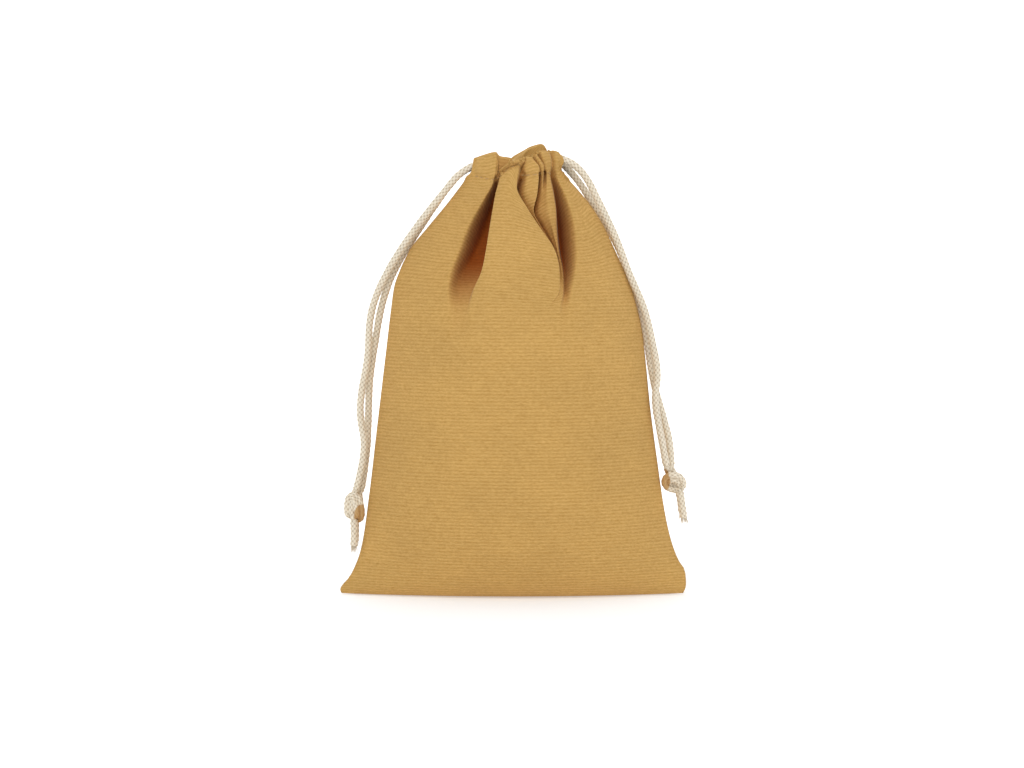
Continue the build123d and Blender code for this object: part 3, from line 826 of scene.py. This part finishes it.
# Each free strand's route and side.
STRANDS = {
    "left_cord_front_strand": (LEFT_FRONT_ROUTE, "left"),
    "left_cord_back_strand": (LEFT_BACK_ROUTE, "left"),
    "right_cord_front_strand": (RIGHT_FRONT_ROUTE, "right"),
    "right_cord_back_strand": (RIGHT_BACK_ROUTE, "right"),
}
# The cords' ways through the casing, from the side where each leaves it: x and height. Both go low in the
# middle.
CASING_LANES = {
    "left": [(-10.0, 186.6), (-5.0, 185.4), (2.0, 185.3), (8.0, 186.0), (13.4, 187.6)],
    "right": [(11.6, 190.8), (9.0, 189.4), (4.0, 187.9), (-3.0, 187.8), (-7.2, 188.9), (-9.6, 190.0)],
}
EXIT_SHARE = 0.12  # a cord's piece in the casing goes on over this share of the free strand's first span
# How each cord then turns across the far slit: x and distance from the middle plane.
SLIT_BENDS = {"left": [(15.4, 2.6), (16.0, 0.0)], "right": [(-11.4, 4.2), (-12.2, 0.0)]}


def casing_route(side, place):
    """A cord's route through one casing, from just outside its own slit to the middle of the far one."""
    way = -1 if place == "front" else 1
    strand, _ = STRANDS[f"{side}_cord_{place}_strand"]
    mouth, leave, beyond = (np.array(point) for point in strand[:3])
    lane = CASING_LANES[side]
    route = [leave + EXIT_SHARE * (beyond - leave), leave, mouth]
    route += [(x, way * (math.sqrt(RING_RADIUS**2 - x * x) - RING_CENTRE_Y), z) for x, z in lane]
    return route + [(x, way * y, lane[-1][1]) for x, y in SLIT_BENDS[side]]


# ---- knots ----
# The centre of each overhand knot and its middle line, counted from there.
KNOTS = {
    "left": ((-69.5, 0, 39.0), [
        (0.9, 0.2, 5.8), (1.1, 0.6, 4.2), (1.6, 1.8, 1.2), (0.8, 2.6, -2.0), (-1.2, 2.0, -4.2),
        (-2.4, -0.2, -3.6), (-2.3, -1.9, -0.5), (-2.0, -2.2, 2.6), (-0.9, -2.4, 4.6), (1.2, -2.6, 2.6),
        (2.1, -2.0, -1.0), (2.2, -0.8, -4.6), (1.3, 1.0, -5.8), (-0.2, 0.6, -4.4), (-0.4, -0.1, -5.0),
    ]),
    "right": ((70.3, 0, 49.7), [
        (-1.7, 0.2, 5.6), (-1.2, 0.6, 4.2), (0.4, 1.8, 1.8), (2.6, 2.0, -0.6), (4.0, 0.4, -2.2),
        (3.2, -1.8, 0.6), (1.4, -2.6, 2.2), (-1.0, -2.6, 1.9), (-2.6, -1.6, 1.5), (-3.1, 0.0, -0.6),
        (-1.6, 1.4, -2.4), (1.0, 0.8, -2.8), (2.8, 0.0, -3.2), (3.2, -0.1, -4.0),
    ]),
}
KNOT_BOUNCE_SHADE_PATCHES = {  # where each knot's side facing the pouch is painted the pouch's colour, as painted shade tinted by light bounced off the pouch: centre and half sizes, in metres
    "left": ((-0.0666, -0.002, 0.0350), (0.0030, 0.006, 0.0048)),
    "right": ((0.0660, -0.001, 0.0502), (0.0031, 0.006, 0.0052)),
}
KNOT_OVERLAP = 0.8  # a knot's ends go on this far into its strands and tails


def overhand_line(top, bottom, centre, way, apart):
    """One strand's way through an overhand knot tied in two strands: in at the top, out at the bottom."""
    middle = nurbs_line("knot_middle", [tuple(np.add(centre, place)) for place in way])
    middle, _ = evenly(middle, 1.0)
    tangent = np.gradient(middle, axis=0)
    beside = np.cross(tangent, (0.0, 1.0, 0.0))
    beside /= np.linalg.norm(beside, axis=1, keepdims=True)
    # the two strands lie side by side, one a little behind the other
    middle += (beside + np.array([0, 0.5, 0])) * apart
    above, below = np.array(top) + (0, 0, KNOT_OVERLAP), np.array(bottom) - (0, 0, KNOT_OVERLAP)
    return nurbs_line("knot_line", [tuple(p) for p in [above, top, *middle, bottom, below]])


def knot_piece(name, tops, bottoms, centre, way, look):
    """An overhand knot tied in both strands of a drawstring."""
    parts = []
    for top, bottom, apart in zip(tops, bottoms, (-1.0, 1.0)):
        line = overhand_line(top, bottom, centre, way, apart)
        part, _ = braided_tube(name, line, look, radius=KNOT_CORD_RADIUS, step=0.2)
        parts.append(part)
    return join(parts, name)


FRAY_RINGS = 6
FRAY_SIDES = 4
FRAY_ROOT = 0.9  # a loose yarn starts this far inside the cord


def frayed_tip(name, tip, direction, seed, look, count=46, length=3.4):
    """Loose yarns at a cut cord end: thin curved fibres that spread from the tip."""
    random.seed(seed)
    direction = Vector(direction).normalized()
    side = direction.cross(Vector((0, 1, 0.1))).normalized()
    across = direction.cross(side)
    verts, faces = [], []
    for _ in range(count):
        spot = math.sqrt(random.random()) * 1.25
        turn = random.random() * 2 * math.pi
        out = side * math.cos(turn) + across * math.sin(turn)
        reach = length * random.uniform(0.45, 1.0)
        spread = random.uniform(0.05, 0.75) * (0.4 + spot)
        curl = side * random.uniform(-0.7, 0.7) + across * random.uniform(-0.7, 0.7)
        thick = random.uniform(0.07, 0.13)
        base = len(verts)
        for k in range(FRAY_RINGS):
            s = k / (FRAY_RINGS - 1)
            centre = Vector(tip) - direction * FRAY_ROOT + out * spot + direction * (reach + FRAY_ROOT) * s
            centre += (out * spread + curl * 0.5) * s * s * reach * 0.45
            for j in range(FRAY_SIDES):
                a = j * math.pi / 2
                verts.append(centre + (side * math.cos(a) + across * math.sin(a)) * thick * (1 - 0.7 * s))
        quads = grid_faces(FRAY_RINGS, FRAY_SIDES, closed=True)
        quads.append(list(range(FRAY_SIDES))[::-1])
        quads.append([(FRAY_RINGS - 1) * FRAY_SIDES + j for j in range(FRAY_SIDES)])
        faces += [[base + corner for corner in quad] for quad in quads]
    attribute = [(v[0] * 0.2, v[2] * 0.2, 0.75) for v in verts]
    return mesh_piece(name, np.array(verts), faces, look, {"braid": attribute})


def join(parts, name):
    """Several mesh pieces made one."""
    first = parts[0]
    with bpy.context.temp_override(active_object=first, selected_editable_objects=parts, object=first):
        bpy.ops.object.join()
    first.name = name
    return first


KNOT_LOOKS = {side: cord_material(f"{side}_knot_looks", place) for side, place in KNOT_BOUNCE_SHADE_PATCHES.items()}

strand_pieces = {}
for name, (route, side) in STRANDS.items():
    strand, path = braided_tube(f"{name}_braid", nurbs_line(name, route[1:]), CORD)
    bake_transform(strand)
    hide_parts(name)
    strand_pieces[name] = (strand, path)

for index, (name, route) in enumerate(TAILS.items()):
    side = name.split("_")[0]
    line = nurbs_line(name, route)
    body, _ = braided_tube(name, line, CORD, caps=(True, False))
    fringe = frayed_tip(f"{name}_fray", line[-1], line[-1] - line[-6], 20 + index, CORD)
    tail = join([body, fringe], f"{name}_braid")
    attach(tail, f"{side}_cord_end")
    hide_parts(name)

knots = {}
for side, (centre, way) in KNOTS.items():
    tops = [STRANDS[f"{side}_cord_{place}_strand"][0][-1] for place in ("front", "back")]
    bottoms = [TAILS[f"{side}_tail_{place}"][0] for place in ("front", "back")]
    knots[side] = knot_piece(f"{side}_overhand_knot", tops, bottoms, centre, way, KNOT_LOOKS[side])
for side, knot in knots.items():
    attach(knot, f"{side}_cord_end")
    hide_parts(f"{side}_knot")

for name, (strand, path) in strand_pieces.items():
    side, place = name.split("_")[0], name.split("_")[2]

# ---- cords inside the casing ----
for side in ("left", "right"):
    for place in ("front", "back"):
        name = f"{side}_cord_in_{place}_casing"
        run, _ = braided_tube(name, nurbs_line(name, casing_route(side, place)), CORD, step=0.3)
        way = -1 if place == "front" else 1
        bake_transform(run)
        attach(run, "pouch")
        nodes = [f"{side}_cord_{place}_run"] + ([f"{side}_cord_slit_bend"] if place == "front" else [])
        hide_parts(*nodes)


# ---- stitches of the casing ----
STITCH_LENGTH = 2.3
STITCH_PITCH = 3.1
STITCH_RADIUS = 0.2
STITCH_RINGS = 7
STITCH_SIDES = 8
STITCH_RISE, STITCH_DIP = 0.3, 0.12  # how far a stitch stands out at its middle and dips at its ends


def stitch(line, run, start, outward):
    """Rings of one stitch that lies on a line of cloth and dips into it at both ends."""
    share = np.linspace(0, 1, STITCH_RINGS)
    at = start + STITCH_LENGTH * share
    centre = np.stack([np.interp(at, run, line[:, k]) for k in range(3)], axis=1)
    ahead = np.gradient(centre, axis=0)
    out = np.stack([ahead[:, 1], -ahead[:, 0], 0 * share], axis=1) * outward
    out /= np.linalg.norm(out, axis=1, keepdims=True)
    centre += out * (STITCH_RISE * np.sin(math.pi * share) ** 0.6 - STITCH_DIP)[:, None]
    thick = STITCH_RADIUS * np.sin(math.pi * (0.05 + 0.9 * share)) ** 0.4
    angle = np.linspace(0, 2 * math.pi, STITCH_SIDES, endpoint=False)
    ring_out = np.cos(angle)[None, :, None] * out[:, None]
    ring_up = np.sin(angle)[None, :, None] * np.array([0, 0, 1.0])
    return centre[:, None] + (ring_out + ring_up) * thick[:, None, None]


def hem_stitches(name, line, outward):
    """The casing's row of stitches along a row of the cloth's points."""
    run = run_along(line)
    starts = np.arange(STITCH_PITCH, run[-1] - 2 * STITCH_PITCH, STITCH_PITCH)
    verts = np.concatenate([stitch(line, run, start, outward).reshape(-1, 3) for start in starts])
    size = STITCH_RINGS * STITCH_SIDES
    one = grid_faces(STITCH_RINGS, STITCH_SIDES, closed=True)
    one.append(list(range(STITCH_SIDES))[::-1])
    one.append([size - STITCH_SIDES + k for k in range(STITCH_SIDES)])
    faces = [[corner + size * k for corner in face] for k in range(len(starts)) for face in one]
    return mesh_piece(name, verts, faces, THREAD)


STITCHED_ROW = BASE_ROWS + int(np.argmin(np.abs(wall_heights() - HEM_HEIGHT - STITCHES_ABOVE)))
for place, points, outward in (("front", front_points, 1), ("back", back_points, -1)):
    threads = hem_stitches(f"{place}_hem_stitches", points[STITCHED_ROW], outward)
    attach(threads, f"{place}_lip")
    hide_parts(f"{place}_casing_stitching")

# ---- the fabric's bodies ----
for name, piece, nodes in (
    ("front", front_fabric, ("front_panel", "front_casing")),
    ("back", back_fabric, ("back_panel", "back_casing")),
):
    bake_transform(piece)
    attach(piece, "pouch")
    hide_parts(*nodes)

# ---- finishes of the CAD nodes that stay ----
for label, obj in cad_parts.items():
    look = THREAD if "stitching" in label else ALLOWANCE if "allowance" in label else None
    if look:
        for s in obj.material_slots:
            s.material = look

# ---- stage, light and camera ----
VIEW_DISTANCE = 1.247
VIEW_TILT = math.radians(3.0)
VIEW_HEIGHT = 0.0925
VIEW_X = -0.0004


BACKDROP = {"front": -2.2, "back": 1.2, "half_width": 3.0, "wall": 1.6, "bend": 0.6}  # metres
BEND_STEPS = 12


def backdrop():
    """A pale floor that curves up into a wall behind the pouch."""
    back, bend, half_width = BACKDROP["back"], BACKDROP["bend"], BACKDROP["half_width"]
    outline = [(BACKDROP["front"], 0.0), (-0.4, 0.0), (back - bend, 0.0)]
    for k in range(1, BEND_STEPS + 1):
        a = math.radians(90 * k / BEND_STEPS)
        outline.append((back - bend + bend * math.sin(a), bend - bend * math.cos(a)))
    outline.append((back, BACKDROP["wall"] + bend))
    points = [(x * half_width / MM, y / MM, z / MM) for y, z in outline for x in (-1, 1)]
    made, tree, shader = material("backdrop_paper", Roughness=0.9, Specular_IOR_Level=0.1)
    shader.inputs["Base Color"].default_value = (0.75, 0.75, 0.75, 1)
    shader.inputs["Emission Color"].default_value = (1, 1, 1, 1)
    position = node(tree, "ShaderNodeNewGeometry").outputs["Position"]
    y = node(tree, "ShaderNodeSeparateXYZ", {0: position}).outputs[1]
    glow = {0: y, 1: 0.0, 2: 0.6, 3: 0.36, 4: 0.8}  # brighter behind the pouch than under it
    far = node(tree, "ShaderNodeMapRange", glow, interpolation_type="SMOOTHSTEP")
    tree.links.new(far.outputs[0], shader.inputs["Emission Strength"])
    obj = mesh_piece("backdrop", points, grid_faces(len(outline), 2), made)
    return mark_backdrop(obj)


def area_light(name, place, target, size, power):
    """A soft square light that faces a target."""
    light = bpy.data.lights.new(name, "AREA")
    light.shape = "SQUARE"
    light.size = size
    light.energy = power
    obj = link(bpy.data.objects.new(name, light))
    obj.location = place
    obj.rotation_euler = (Vector(target) - Vector(place)).to_track_quat("-Z", "Y").to_euler()


def camera():
    """A long lens, straight on and a little above."""
    data = bpy.data.cameras.new("camera")
    data.lens = 100
    data.sensor_width = 36
    obj = link(bpy.data.objects.new("camera", data))
    target = Vector((VIEW_X, 0, VIEW_HEIGHT))
    back = Vector((0, -math.cos(VIEW_TILT), math.sin(VIEW_TILT)))
    obj.location = target + back * VIEW_DISTANCE
    obj.rotation_euler = (-back).to_track_quat("-Z", "Y").to_euler()
    bpy.context.scene.camera = obj


backdrop()
LIT_PLACE = (0, 0, 0.1)
LIGHTS = {  # place, side and power
    "key": ((-0.15, -1.05, 1.25), 0.8, 9.6),
    "fill left": ((-1.3, -0.7, 0.45), 0.8, 2.9),
    "fill right": ((1.3, -0.7, 0.45), 0.8, 4.4),
    "top": ((0.0, 0.1, 1.3), 0.9, 4),
}
WORLD_LIGHT = 0.24
for name, (place, size, power) in LIGHTS.items():
    area_light(name, place, LIT_PLACE, size, power)
world = bpy.data.worlds.new("studio")
bpy.context.scene.world = world
world.use_nodes = True
world.node_tree.nodes["Background"].inputs[0].default_value = (1, 1, 1, 1)
world.node_tree.nodes["Background"].inputs[1].default_value = WORLD_LIGHT
bpy.context.scene.view_settings.view_transform = "Standard"
camera()
